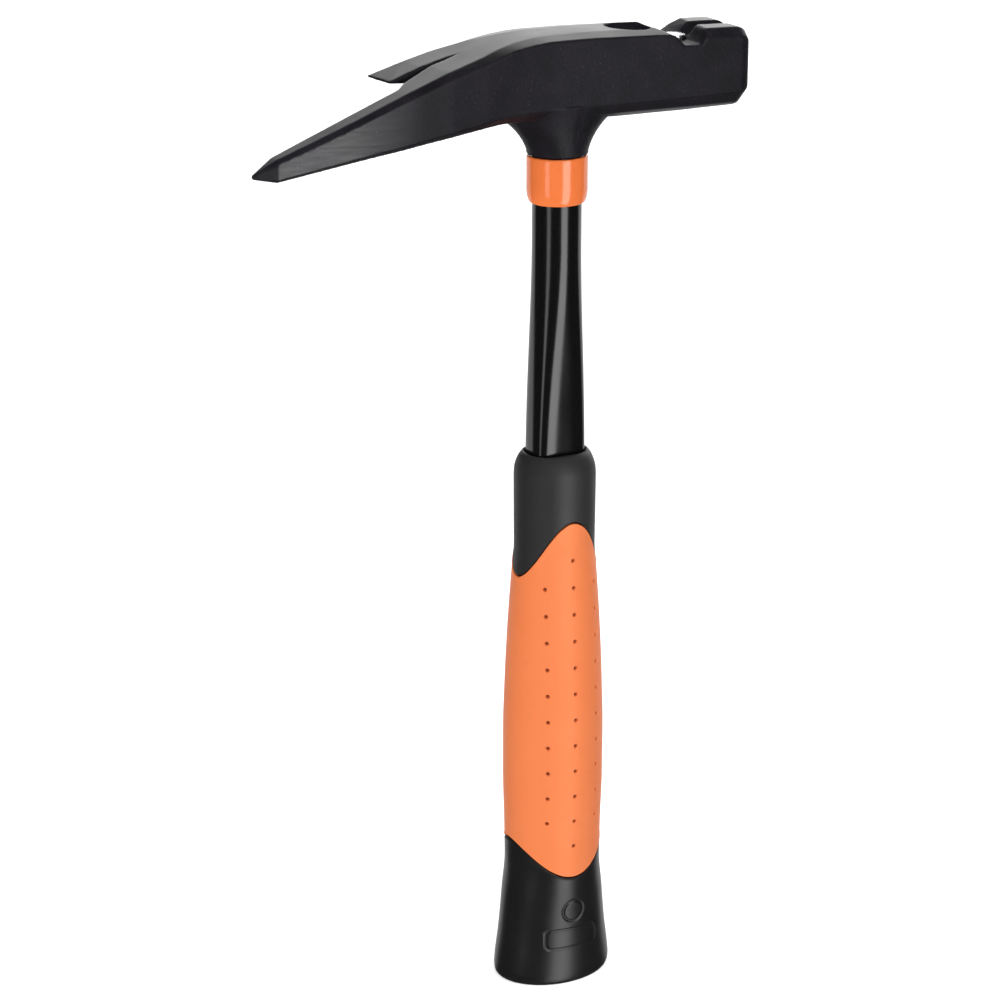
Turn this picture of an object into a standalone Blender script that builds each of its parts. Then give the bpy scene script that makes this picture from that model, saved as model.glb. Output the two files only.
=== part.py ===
"""A carpenter's roofing hammer: forged head with spike and claw on a tubular steel handle.

Metres, +Z up. The origin lies on the flat of the butt, the handle's axis is Z, and the
striking face looks along +X, so the spike and the claw reach along -X.
"""

import math

import bmesh
import bpy

MM = 0.001

# Driving dimensions
OVERALL_HEIGHT = 0.3220
FACE_REACH = 0.0630
SPIKE_REACH = 0.1070
HEAD_WIDTH = 0.0260
HEAD_HEIGHT = 0.0268
SOCKET_ROOF = 0.0096
NECK_LENGTH = 0.0116
NECK_WALL = 0.0016
COLLAR_LENGTH = 0.0154
TUBE_RADIUS = 0.00787
TUBE_WALL = 0.0015
TUBE_BOTTOM = 0.0080
OVAL_TAPER_LENGTH = 0.0700
GRIP_LENGTH = 0.1862
CUFF_LENGTH = 0.0317
BUTT_LENGTH = 0.0458
CUFF_WAVE = 0.0099
BUTT_WAVE = 0.0058
CUFF_WALL = 0.00392
PALM_WALL = 0.00728
BUTT_WALL = 0.01084
SLEEVE_THICKNESS = 0.0024
END_PLUG_LENGTH = 0.0140
MAGNET_RADIUS = 0.0036
FIT_GAP = 0.0003

# Worked out from them
SOCKET_RADIUS = TUBE_RADIUS + FIT_GAP
NECK_RADIUS = SOCKET_RADIUS + NECK_WALL
HEAD_BOTTOM = OVERALL_HEIGHT - HEAD_HEIGHT
NECK_END = HEAD_BOTTOM - NECK_LENGTH
SOCKET_TOP = OVERALL_HEIGHT - SOCKET_ROOF
TUBE_TOP = SOCKET_TOP - 2 * FIT_GAP
# The tube is pressed oval in the grip: deeper along X, narrower along Y, as long all round.
OVAL_HALF_DEPTH = 1.21 * TUBE_RADIUS
OVAL_HALF_WIDTH = 0.82 * TUBE_RADIUS
OVAL_END = GRIP_LENGTH - 0.4 * CUFF_LENGTH
OVAL_START = GRIP_LENGTH + OVAL_TAPER_LENGTH


def clear_scene():
    for old in list(bpy.data.objects):
        bpy.data.objects.remove(old, do_unlink=True)


def new_collection(name):
    made = bpy.data.collections.new(name)
    bpy.context.scene.collection.children.link(made)
    return made


clear_scene()
PARTS = new_collection("roofing_hammer")
CUTTERS = new_collection("cutters")
CUTTERS.hide_render = True


def material(name, colour, roughness, metallic=0.0):
    made = bpy.data.materials.new(name)
    made.use_nodes = True
    shader = made.node_tree.nodes["Principled BSDF"]
    shader.inputs["Base Color"].default_value = (*colour, 1.0)
    shader.inputs["Roughness"].default_value = roughness
    shader.inputs["Metallic"].default_value = metallic
    made.diffuse_color = (*colour, 1.0)
    return made


def object_from(bm, name, look=None):
    """Turns a bmesh into an object with its normals facing out."""
    bmesh.ops.recalc_face_normals(bm, faces=bm.faces)
    mesh = bpy.data.meshes.new(name)
    bm.to_mesh(mesh)
    bm.free()
    made = bpy.data.objects.new(name, mesh)
    PARTS.objects.link(made)
    if look:
        mesh.materials.append(look)
    return made


def bridge(bm, first, second):
    """Joins two closed rings of vertices; where a ring repeats a vertex, the quad is a triangle."""
    count = len(first)
    for i in range(count):
        j = (i + 1) % count
        corners = [first[i], first[j], second[j], second[i]]
        face = list(dict.fromkeys(corners))
        if len(face) > 2:
            bm.faces.new(face)


def add_rings(bm, rings):
    return [[bm.verts.new(point) for point in ring] for ring in rings]


def loft(name, rings, look=None, ends="capped"):
    """Skins a list of rings of points. The ends are capped, open, or joined to each other."""
    bm = bmesh.new()
    made = add_rings(bm, rings)
    for first, second in zip(made, made[1:]):
        bridge(bm, first, second)
    if ends == "capped":
        bm.faces.new(made[0])
        bm.faces.new(made[-1])
    if ends == "joined":
        bridge(bm, made[-1], made[0])
    return object_from(bm, name, look)


def oval(half_x, half_y, height, count=48):
    """A horizontal ring. Height is a number, or a function of the angle."""
    ring = []
    for i in range(count):
        angle = 2 * math.pi * i / count
        z = height(angle) if callable(height) else height
        ring.append((half_x * math.cos(angle), half_y * math.sin(angle), z))
    return ring


def blend(value, table):
    """Smooth (cosine) reading of a table of (position, number) rows, ordered by position."""
    if value <= table[0][0]:
        return table[0][1]
    for (low, first), (high, second) in zip(table, table[1:]):
        if value <= high:
            part = (value - low) / (high - low)
            return first + (second - first) * (1 - math.cos(math.pi * part)) / 2
    return table[-1][1]


def thicken(target, thickness):
    """Gives an open surface a wall on its inner side."""
    wall = target.modifiers.new("wall", "SOLIDIFY")
    wall.thickness = thickness
    wall.offset = -1


def cut(target, cutter, operation="DIFFERENCE"):
    """Boolean that keeps the EXACT solver; the cutter moves to the hidden collection."""
    modifier = target.modifiers.new(cutter.name, "BOOLEAN")
    modifier.operation = operation
    modifier.solver = "EXACT"
    modifier.object = cutter
    for owner in list(cutter.users_collection):
        owner.objects.unlink(cutter)
    CUTTERS.objects.link(cutter)
    cutter.hide_render = True
    cutter.display_type = "WIRE"


def cylinder(name, radius, low, high, centre=(0, 0), look=None, count=48, axis="Z"):
    """A closed cylinder from low to high along Z, or along X with centre as its (y, z)."""
    bm = bmesh.new()
    bmesh.ops.create_cone(
        bm, cap_ends=True, segments=count, radius1=radius, radius2=radius, depth=high - low
    )
    made = object_from(bm, name, look)
    middle = (low + high) / 2
    if axis == "Z":
        made.location = (centre[0], centre[1], middle)
    else:
        made.rotation_euler = (0, math.pi / 2, 0)
        made.location = (middle, centre[0], centre[1])
    return made


# --- Head ---------------------------------------------------------------------------------

FORWARD = FACE_REACH / 64
BACKWARD = SPIKE_REACH / 107
ACROSS = HEAD_WIDTH / 26
UPWARD = HEAD_HEIGHT / 26.8


def head_point(x, y, drop):
    """Head sizes are written in millimetres: x from the handle's axis, drop below the top."""
    return (
        x * (FORWARD if x > 0 else BACKWARD),
        y * ACROSS,
        OVERALL_HEIGHT - drop * UPWARD,
    )


def body_ring(x, half, top, bottom, split, top_chamfer, low_chamfer):
    """Octagon of the striking end, with one more point above and below where the claw parts."""
    wide, deep = top_chamfer
    low = low_chamfer
    points = [
        (-half, top + deep),
        (-half + wide, top),
        (split, top),
        (half - wide, top),
        (half, top + deep),
        (half, bottom - low),
        (half - low, bottom),
        (split, bottom),
        (-half + low, bottom),
        (-half, bottom - low),
    ]
    return [head_point(x, y, drop) for y, drop in points]


def spike_ring(x, outer, inner, top, bottom, chamfer, inner_chamfer):
    points = [
        (outer, top + 0.8 * chamfer),
        (outer + chamfer, top),
        (inner - inner_chamfer, top),
        (inner, top + inner_chamfer),
        (inner, bottom - inner_chamfer),
        (inner - inner_chamfer, bottom),
        (outer + chamfer, bottom),
        (outer, bottom - 0.8 * chamfer),
    ]
    return [head_point(x, y, drop) for y, drop in points]


def claw_ring(x, inner, outer, top, inner_thickness, outer_thickness, chamfer, skew=0.0):
    """Skew carries the outer corner further back than the inner one."""
    middle = (inner + 2 * outer) / 3
    points = [
        (0.0, inner, top),
        (1.0, outer - 1.2 * chamfer, top),
        (1.0, outer, top + chamfer),
        (1.0, outer, top + chamfer + outer_thickness),
        (0.7, middle, top + chamfer + 0.5 * (inner_thickness + outer_thickness)),
        (0.0, inner, top + inner_thickness),
    ]
    return [head_point(x - skew * part, y, drop) for part, y, drop in points]


def forged_block():
    """Striking end, spike and claw in one skin; the last body ring is shared by both legs."""
    split = 0.8
    body = [
        body_ring(64.0, 9.7, 4.8, 23.8, split, (1.8, 1.8), 3.6),
        body_ring(63.7, 11.0, 3.5, 25.1, split, (2.3, 2.2), 4.2),
        body_ring(62.8, 12.1, 2.5, 26.2, split, (2.7, 2.6), 4.7),
        body_ring(61.2, 12.8, 2.0, 26.8, split, (2.8, 2.7), 5.0),
        body_ring(48.0, 12.9, 1.9, 26.8, split, (2.8, 2.5), 5.0),
        body_ring(32.0, 13.0, 1.3, 26.7, split, (2.8, 2.0), 5.0),
        body_ring(18.0, 13.0, 0.5, 26.5, split, (2.8, 1.9), 4.8),
        body_ring(4.0, 13.0, 0.0, 26.1, split, (2.8, 1.8), 4.2),
        body_ring(-8.0, 13.1, 0.1, 25.4, split, (2.8, 1.7), 3.6),
        body_ring(-17.0, 13.5, 0.9, 24.9, split, (2.8, 1.7), 3.0),
        body_ring(-25.0, 14.1, 2.2, 24.8, split, (2.7, 1.7), 2.6),
        body_ring(-32.0, 14.8, 3.9, 25.1, split, (2.6, 1.7), 2.2),
    ]
    spike = [
        spike_ring(-44.0, -15.5, 0.0, 7.1, 26.4, 2.2, 0.2),
        spike_ring(-54.5, -15.4, -4.6, 11.0, 27.8, 2.2, 0.3),
        spike_ring(-57.5, -15.3, -5.9, 12.2, 28.3, 2.1, 2.2),
        spike_ring(-74.0, -14.4, -5.2, 18.8, 30.5, 1.8, 1.8),
        spike_ring(-88.0, -13.1, -5.1, 24.3, 32.8, 1.6, 1.6),
        spike_ring(-99.5, -11.8, -5.4, 28.6, 34.7, 1.3, 1.3),
        spike_ring(-107.0, -9.3, -8.3, 32.8, 33.6, 0.2, 0.2),
    ]
    claw = [
        claw_ring(-38.0, 1.5, 15.4, 5.4, 13.0, 8.4, 1.7),
        claw_ring(-46.0, 2.4, 15.8, 7.8, 7.0, 3.6, 1.2),
        claw_ring(-54.5, 3.2, 16.0, 11.0, 2.8, 0.2, 0.4, 1.8),
    ]
    bm = bmesh.new()
    body = add_rings(bm, body)
    spike = add_rings(bm, spike)
    claw = add_rings(bm, claw)
    for first, second in zip(body, body[1:]):
        bridge(bm, first, second)
    shared = body[-1]
    spike_root = [shared[i] for i in (0, 1, 2, 2, 7, 7, 8, 9)]
    claw_root = shared[2:8]
    for first, second in zip([spike_root, *spike], spike):
        bridge(bm, first, second)
    for first, second in zip([claw_root, *claw], claw):
        bridge(bm, first, second)
    for end in (body[0], spike[-1], claw[-1]):
        bm.faces.new(end)
    bmesh.ops.triangulate(bm, faces=bm.faces)
    return object_from(bm, "hammer_head", material("forged_black", (0.035, 0.034, 0.037), 0.5, 0.4))


def socket_neck():
    """Round neck that flares along a quarter ellipse until it is lost inside the block."""
    start = NECK_END + 0.11 * NECK_LENGTH
    rise = 1.33 * NECK_LENGTH
    flare_along, flare_across = 20.0 * FORWARD, 3.0 * ACROSS
    rings = [oval(NECK_RADIUS, NECK_RADIUS, NECK_END, 40)]
    steps = 9
    for step in range(steps + 1):
        part = math.sin(math.pi / 2 * step / steps)
        half_x = NECK_RADIUS + flare_along * (1 - math.sqrt(1 - part**2))
        half_y = NECK_RADIUS + flare_across * part**2
        rings.append(oval(half_x, half_y, start + rise * part, 40))
    return loft("socket_neck", rings)


NOTCH_REAR = 34.4
NOTCH_FLOOR_REAR = 39.2
NOTCH_FLOOR_FRONT = 45.0
NOTCH_FRONT = 50.9
NOTCH_DEPTH = 5.9
GROOVE_RADIUS = 3.0
GROOVE_DROP = 2.6
POCKET_REACH = 7.6
POCKET_HALF_WIDTH = 7.6
CUT_OVERRUN = 0.005
MAGNET_X = (NOTCH_FLOOR_REAR + NOTCH_FLOOR_FRONT) / 2 * FORWARD
NOTCH_FLOOR_Z = OVERALL_HEIGHT - NOTCH_DEPTH * UPWARD
POCKET_X = 25.4 * FORWARD
POCKET_TOP = OVERALL_HEIGHT - 0.8 * UPWARD
POCKET_DEPTH = 3.4 * UPWARD

# Name, x, height of the shown end, radius and length of each magnet.
MAGNETS = [
    ("nail_magnet", MAGNET_X, NOTCH_FLOOR_Z + 1.3 * MM, MAGNET_RADIUS, 6.5 * MM),
    ("pocket_magnet", POCKET_X, POCKET_TOP - 0.7 * POCKET_DEPTH, 0.7 * MAGNET_RADIUS, 4.5 * MM),
]


def cross_notch():
    """Trough right across the top, where a nail's head sits."""
    profile = [
        (NOTCH_REAR - 3.0, -5.0),
        (NOTCH_REAR, 1.4),
        (NOTCH_FLOOR_REAR - 1.4, 3.7),
        (NOTCH_FLOOR_REAR, NOTCH_DEPTH),
        (NOTCH_FLOOR_FRONT, NOTCH_DEPTH),
        (NOTCH_FRONT, 1.9),
        (NOTCH_FRONT + 4.0, -5.0),
    ]
    sides = (-20.0, 20.0)
    rings = [[head_point(x, side, drop) for x, drop in profile] for side in sides]
    return loft("cross_notch", rings)


def nail_groove():
    """Round-bottomed groove from the cross notch out through the striking end."""
    radius = GROOVE_RADIUS * ACROSS
    z = OVERALL_HEIGHT - GROOVE_DROP * UPWARD
    end = FACE_REACH + CUT_OVERRUN
    return cylinder("nail_groove", radius, MAGNET_X, end, (0, z), count=24, axis="X")


def rear_pocket():
    """Lens-shaped recess in the top, behind the cross notch."""
    bm = bmesh.new()
    bmesh.ops.create_uvsphere(bm, u_segments=24, v_segments=12, radius=1.0)
    for corner in bm.verts:
        corner.co.x *= POCKET_REACH * FORWARD
        corner.co.y *= POCKET_HALF_WIDTH * ACROSS
        corner.co.z *= POCKET_DEPTH
    made = object_from(bm, "rear_pocket")
    made.location = (POCKET_X, 0, POCKET_TOP)
    return made


def hammer_head():
    head = forged_block()
    cut(head, socket_neck(), "UNION")
    cut(head, cross_notch())
    cut(head, nail_groove())
    cut(head, rear_pocket())
    cut(head, cylinder("socket_bore", SOCKET_RADIUS, NECK_END - CUT_OVERRUN, SOCKET_TOP))
    for name, x, top, radius, length in MAGNETS:
        bottom = top - length - FIT_GAP
        above = OVERALL_HEIGHT + CUT_OVERRUN
        bore = cylinder(name + "_bore", radius + FIT_GAP, bottom, above, (x, 0), count=32)
        cut(head, bore)


# --- Magnets ------------------------------------------------------------------------------


def magnet(name, x, top, radius, length):
    steel = material(name, (0.62, 0.62, 0.64), 0.22, 1.0)
    made = cylinder(name, radius, top - length, top, (x, 0), steel, 32)
    bevel = made.modifiers.new("edge", "BEVEL")
    bevel.width = 0.06 * radius
    bevel.segments = 1
    bevel.limit_method = "ANGLE"


# --- Tube, collar and plugs ---------------------------------------------------------------


def between(low, high, steps):
    return [low + (high - low) * step / steps for step in range(steps + 1)]


def tube_half_axes(z):
    """Half depth and half width of the tube's outside at height z: round above, oval below."""
    half_x = blend(z, [(OVAL_END, OVAL_HALF_DEPTH), (OVAL_START, TUBE_RADIUS)])
    half_y = blend(z, [(OVAL_END, OVAL_HALF_WIDTH), (OVAL_START, TUBE_RADIUS)])
    return half_x, half_y


def handle_tube():
    levels = [TUBE_BOTTOM, *between(OVAL_END, OVAL_START, 12), TUBE_TOP]
    rings = [oval(*tube_half_axes(z), z) for z in levels]
    paint = material("tube_black_gloss", (0.012, 0.012, 0.013), 0.12)
    thicken(loft("handle_tube", rings, paint, ends="open"), TUBE_WALL)


def neck_collar():
    """Plastic ring under the neck; its lower edge is drawn in towards the tube."""
    outer = NECK_RADIUS - 0.1 * MM
    inner = SOCKET_RADIUS
    top = NECK_END - FIT_GAP
    bottom = NECK_END - COLLAR_LENGTH
    profile = [
        (inner, top),
        (outer - 0.4 * MM, top),
        (outer, top - 0.4 * MM),
        (outer, bottom + 3.6 * MM),
        (outer - 0.25 * MM, bottom + 1.8 * MM),
        (outer - 0.7 * MM, bottom + 0.5 * MM),
        (outer - 1.1 * MM, bottom),
        (inner, bottom),
        (inner, top),
    ]
    bm = bmesh.new()
    points = [bm.verts.new((radius, 0, z)) for radius, z in profile[:-1]]
    for first, second in zip(points, points[1:] + points[:1]):
        bm.edges.new((first, second))
    mesh = bpy.data.meshes.new("neck_collar")
    bm.to_mesh(mesh)
    bm.free()
    made = bpy.data.objects.new("neck_collar", mesh)
    PARTS.objects.link(made)
    mesh.materials.append(material("collar_orange", (0.85, 0.22, 0.06), 0.18))
    turn = made.modifiers.new("turn", "SCREW")
    turn.angle = 2 * math.pi
    turn.steps = turn.render_steps = 48
    turn.use_merge_vertices = True
    turn.merge_threshold = 0.00001
    return made


def spreading_plug():
    """Tapered steel plug pressed into the tube's top end; it locks the tube in the socket."""
    radius = TUBE_RADIUS - TUBE_WALL - FIT_GAP
    low = NECK_END + 0.3 * NECK_LENGTH
    high = TUBE_TOP - FIT_GAP
    # Share of the plug's length from its small end, and share of its full radius.
    outline = [(0.0, 0.86), (0.25, 0.97), (0.9, 1.0), (1.0, 0.94)]
    rings = []
    for part, size in outline:
        rings.append(oval(size * radius, size * radius, low + part * (high - low), 32))
    loft("spreading_plug", rings, material("plug_steel", (0.35, 0.35, 0.36), 0.4, 1.0))


def tube_end_plug():
    """Closes the tube's lower end, so the grip's plastic can't run up it."""
    half_x = OVAL_HALF_DEPTH - TUBE_WALL - FIT_GAP
    half_y = OVAL_HALF_WIDTH - TUBE_WALL - FIT_GAP
    low, high = TUBE_BOTTOM + FIT_GAP, TUBE_BOTTOM + END_PLUG_LENGTH
    lead = 1.2 * MM
    rings = [
        oval(half_x, half_y, low, 32),
        oval(half_x, half_y, high - lead, 32),
        oval(half_x - lead, half_y - lead, high, 32),
    ]
    loft("tube_end_plug", rings, material("plug_plastic", (0.04, 0.04, 0.045), 0.5))


# --- Grip ---------------------------------------------------------------------------------

SLEEVE_TOP = GRIP_LENGTH - CUFF_LENGTH
SLEEVE_BOTTOM = BUTT_LENGTH

# Wall over the oval tube along X, against height as a share of the grip's length.
GRIP_WALLS = [
    (0.000, 0.904 * BUTT_WALL),
    (0.006, 0.974 * BUTT_WALL),
    (0.015, BUTT_WALL),
    (0.030, 0.987 * BUTT_WALL),
    (0.090, 0.857 * BUTT_WALL),
    (0.160, 0.737 * BUTT_WALL),
    (0.230, 0.919 * PALM_WALL),
    (0.300, 0.942 * PALM_WALL),
    (0.390, PALM_WALL),
    (0.470, PALM_WALL),
    (0.570, 0.931 * PALM_WALL),
    (0.690, 0.781 * PALM_WALL),
    (0.780, 0.665 * PALM_WALL),
    (0.830, 0.966 * CUFF_WALL),
    (0.880, 0.983 * CUFF_WALL),
    (0.955, CUFF_WALL),
    (0.970, 0.949 * CUFF_WALL),
    (0.983, 0.794 * CUFF_WALL),
    (0.993, 0.592 * CUFF_WALL),
    (1.000, 0.273 * CUFF_WALL),
]

# Width along Y as a share of the depth along X.
GRIP_ROUNDNESS = [(0.00, 0.76), (0.10, 0.82), (0.26, 0.95), (0.80, 0.97), (0.97, 0.98), (1.00, 0.86)]


def straight(value, table):
    """Plain reading of a table of (position, number) rows, ordered by position."""
    for (low, first), (high, second) in zip(table, table[1:]):
        if value <= high:
            return first + (second - first) * max(0.0, value - low) / (high - low)
    return table[-1][1]


def grip_half_axes(z, inset=0.0):
    share = z / GRIP_LENGTH
    half_x = OVAL_HALF_DEPTH + straight(share, GRIP_WALLS)
    half_y = half_x * straight(share, GRIP_ROUNDNESS)
    return half_x - inset, half_y - inset


def wavy_ring(level, wave, inset=0.0, count=48):
    """Ring on the grip's outside that rises by the wave's height at the two broad sides."""
    ring = []
    for i in range(count):
        angle = 2 * math.pi * i / count
        z = level - wave * math.cos(2 * angle)
        half_x, half_y = grip_half_axes(z, inset)
        ring.append((half_x * math.cos(angle), half_y * math.sin(angle), z))
    return ring


def waist_rings(shares, inset=0.0):
    """Rings between the sleeve's two ends, each following its own part of the waves."""
    rings = []
    for part in shares:
        level = SLEEVE_BOTTOM + (SLEEVE_TOP - SLEEVE_BOTTOM) * part
        wave = CUFF_WAVE * part - BUTT_WAVE * (1 - part)
        rings.append(wavy_ring(level, wave, inset))
    return rings


WAIST_SHARES = between(0.0, 1.0, 12)


def grip_sleeve():
    """Soft orange zone; its two ends follow the waves of the black body."""
    outside = waist_rings(WAIST_SHARES)
    inside = waist_rings(WAIST_SHARES, SLEEVE_THICKNESS)
    rubber = material("sleeve_orange", (0.82, 0.23, 0.07), 0.5)
    loft("grip_sleeve", outside + inside[::-1], rubber, ends="joined")


def grip_body():
    """Black moulding: butt, waist under the sleeve, upper cuff, and the tube's hole."""
    waist = SLEEVE_THICKNESS + FIT_GAP
    rings = []
    for share in (0.0, 0.006, 0.015, 0.030, 0.090, 0.150):
        z = share * GRIP_LENGTH
        rings.append(oval(*grip_half_axes(z), z))
    rings.append(wavy_ring(SLEEVE_BOTTOM - FIT_GAP, -BUTT_WAVE))
    rings.append(wavy_ring(SLEEVE_BOTTOM - FIT_GAP, -BUTT_WAVE, waist))
    rings.extend(waist_rings(WAIST_SHARES[1:-1], waist))
    rings.append(wavy_ring(SLEEVE_TOP + FIT_GAP, CUFF_WAVE, waist))
    rings.append(wavy_ring(SLEEVE_TOP + FIT_GAP, CUFF_WAVE))
    for share in (0.930, 0.955, 0.970, 0.983, 0.993, 1.000):
        z = share * GRIP_LENGTH
        rings.append(oval(*grip_half_axes(z), z))
    hole = [(GRIP_LENGTH - 0.2 * MM, 0.4 * MM), (GRIP_LENGTH - 1.0 * MM, 0)]
    for z in between(OVAL_END, TUBE_BOTTOM - FIT_GAP, 3):
        hole.append((z, 0))
    for z, extra in hole:
        half_x, half_y = tube_half_axes(z)
        rings.append(oval(half_x + FIT_GAP + extra, half_y + FIT_GAP + extra, z))
    loft("grip_body", rings, material("grip_black", (0.022, 0.022, 0.024), 0.55))


# --- Assembly -----------------------------------------------------------------------------

hammer_head()
for row in MAGNETS:
    magnet(*row)
handle_tube()
neck_collar()
spreading_plug()
tube_end_plug()
grip_body()
grip_sleeve()
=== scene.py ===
import math

import bmesh
import bpy
import numpy as np
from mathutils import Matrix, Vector
from mathutils.kdtree import KDTree


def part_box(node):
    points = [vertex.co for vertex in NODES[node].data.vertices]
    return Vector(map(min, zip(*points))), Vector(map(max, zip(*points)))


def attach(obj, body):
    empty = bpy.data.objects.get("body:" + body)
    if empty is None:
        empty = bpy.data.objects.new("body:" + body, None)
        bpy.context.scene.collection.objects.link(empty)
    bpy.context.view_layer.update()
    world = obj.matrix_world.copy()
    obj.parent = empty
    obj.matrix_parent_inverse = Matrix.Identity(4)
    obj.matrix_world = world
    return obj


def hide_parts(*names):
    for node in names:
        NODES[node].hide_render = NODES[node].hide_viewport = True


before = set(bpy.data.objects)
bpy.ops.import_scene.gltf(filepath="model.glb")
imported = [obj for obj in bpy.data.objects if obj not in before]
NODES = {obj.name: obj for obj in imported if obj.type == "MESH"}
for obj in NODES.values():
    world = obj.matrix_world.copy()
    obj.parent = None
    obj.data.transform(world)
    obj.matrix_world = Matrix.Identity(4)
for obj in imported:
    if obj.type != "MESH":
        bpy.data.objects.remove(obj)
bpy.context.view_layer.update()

# --- Handle tube --------------------------------------------------------------------------
# A drawn steel tube, round up to the head and pressed oval where the grip is moulded on it.
# It is stove-painted in gloss black, which leaves a faint ripple in its reflections.

MM = 0.001
tube_low, tube_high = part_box("handle_tube")
TUBE_RADIUS = tube_high.y
# The oval's half depth and half width, and the heights where it is full and where it begins.
OVAL_DEPTH = 0.972 * tube_high.x
OVAL_WIDTH = 0.82 * TUBE_RADIUS
OVAL_END = 0.1735
OVAL_START = 0.2562
TUBE_WALL = 1.5 * MM
TUBE_BLACK = (0.003, 0.003, 0.0035)
OVAL_FULLNESS = 3.7


def skin(name, rings, ends="capped"):
    """Mesh through rings of points; its ends are capped, or joined to each other."""
    rings = np.asarray(rings, float)
    count, around = rings.shape[:2]
    ring = np.arange(around)
    after = np.roll(ring, -1)
    faces = []
    for i in range(count if ends == "joined" else count - 1):
        low, high = i * around, (i + 1) % count * around
        faces += np.stack([low + ring, low + after, high + after, high + ring], 1).tolist()
    if ends == "capped":
        faces.append(ring.tolist())
        faces.append((ring + (count - 1) * around).tolist())
    mesh = bpy.data.meshes.new(name)
    mesh.from_pydata(rings.reshape(-1, 3).tolist(), [], faces)
    piece = bpy.data.objects.new(name, mesh)
    bpy.context.scene.collection.objects.link(piece)
    face_out(piece)
    return piece


def face_out(piece):
    bm = bmesh.new()
    bm.from_mesh(piece.data)
    bmesh.ops.recalc_face_normals(bm, faces=bm.faces)
    bm.to_mesh(piece.data)
    bm.free()
    piece.data.shade_smooth()


def places(mesh):
    """The mesh's corners as an array of points."""
    found = np.empty(len(mesh.vertices) * 3)
    mesh.vertices.foreach_get("co", found)
    return found.reshape(-1, 3)


def ellipse(half_x, half_y, z, angles):
    """One ring; each size is a number or one number per angle."""
    flat = np.ones_like(angles)
    return np.stack([half_x * np.cos(angles), half_y * np.sin(angles), z * flat], 1)


def full_oval(half_x, half_y, z, angles, fullness):
    """A ring whose broad sides are flatter than an ellipse's when its fullness is over 2."""
    ring = ellipse(half_x, half_y, z, angles)
    share = np.abs(np.stack([np.cos(angles), np.sin(angles)], 1)) ** fullness
    ring[:, :2] /= (share.sum(1) ** (1 / fullness))[:, None]
    return ring


def turn(count):
    return np.arange(count) * 2 * math.pi / count


class Wire:
    """A socket of a finish; working with it as a number adds the Math nodes."""

    def __init__(self, finish, socket):
        self.finish = finish
        self.socket = socket

    def work(self, operation, *values):
        return self.finish.node("ShaderNodeMath", {"operation": operation}, dict(enumerate(values)))

    def __add__(self, other):
        return self.work("ADD", self, other)

    def __sub__(self, other):
        return self.work("SUBTRACT", self, other)

    def __rsub__(self, other):
        return self.work("SUBTRACT", other, self)

    def __mul__(self, other):
        return self.work("MULTIPLY", self, other)

    __radd__ = __add__
    __rmul__ = __mul__


class Finish:
    """The look of one surface: a shader, its plain values, and what varies over it."""

    def __init__(self, name, **plain):
        self.material = bpy.data.materials.new(name)
        self.material.use_nodes = True
        self.tree = self.material.node_tree
        self.shader = self.tree.nodes["Principled BSDF"]
        for word, value in plain.items():
            self.own(word).default_value = value
        self.spot = self.node("ShaderNodeTexCoord", output="Object")

    def node(self, kind, settings=None, sockets=None, output=0):
        """Adds a node: its settings first, then each socket's value or wire."""
        made = self.tree.nodes.new(kind)
        for word, value in (settings or {}).items():
            setattr(made, word, value)
        for key, value in (sockets or {}).items():
            self.join(value, made.inputs[key])
        return Wire(self, made.outputs[output])

    def join(self, value, socket):
        if isinstance(value, Wire):
            self.tree.links.new(value.socket, socket)
        else:
            socket.default_value = value

    def own(self, word):
        """The shader's own socket, named in small letters with underscores for spaces."""
        return next(s for s in self.shader.inputs if s.name.lower().replace(" ", "_") == word)

    def vary(self, **wires):
        for word, wire in wires.items():
            self.join(wire, self.own(word))

    def noise(self, size, detail=2.0, stretch=None, roughness=0.5):
        """Soft random pattern from 0 to 1, whose lumps are about size metres across."""
        spot = self.spot
        if stretch:
            spot = self.node("ShaderNodeVectorMath", {"operation": "MULTIPLY"}, {0: spot, 1: stretch})
        sockets = {"Vector": spot, "Scale": 1 / size, "Detail": detail, "Roughness": roughness}
        return self.node("ShaderNodeTexNoise", {}, sockets, "Fac")

    def ramp(self, value, low, high, to_low=0.0, to_high=1.0):
        """Smooth step from to_low to to_high while value goes from low to high."""
        sockets = {0: value, 1: low, 2: high, 3: to_low, 4: to_high}
        return self.node("ShaderNodeMapRange", {"interpolation_type": "SMOOTHSTEP"}, sockets)

    def mix(self, share, first, second):
        """Colour between first and second."""
        first = first if isinstance(first, Wire) else (*first, 1.0)
        second = second if isinstance(second, Wire) else (*second, 1.0)
        settings = {"data_type": "RGBA"}
        return self.node("ShaderNodeMix", settings, {0: share, 6: first, 7: second}, 2)

    def part(self, vector, axis):
        """One of a vector's three numbers."""
        return self.node("ShaderNodeSeparateXYZ", {}, {0: vector}, "XYZ".index(axis))

    def relief(self, height):
        """Bumps the surface by a height in millimetres."""
        sockets = {"Strength": 1.0, "Distance": MM, "Height": height}
        self.vary(normal=self.node("ShaderNodeBump", {}, sockets))


def wear(piece, finish):
    piece.data.materials.clear()
    piece.data.materials.append(finish.material)


def smooth_share(value, low, high):
    part = np.clip((value - low) / (high - low), 0, 1)
    return (1 - np.cos(math.pi * part)) / 2


def tube_sizes(z):
    """Half depth, half width and fullness of the tube's outside at height z."""
    part = smooth_share(z, OVAL_END, OVAL_START)
    half_x = OVAL_DEPTH + (TUBE_RADIUS - OVAL_DEPTH) * part
    half_y = OVAL_WIDTH + (TUBE_RADIUS - OVAL_WIDTH) * part
    return half_x, half_y, OVAL_FULLNESS + (2.0 - OVAL_FULLNESS) * part


def tube_ring(z, angles, outset=0.0):
    half_x, half_y, fullness = tube_sizes(z)
    return full_oval(half_x + outset, half_y + outset, z, angles, fullness)


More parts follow.
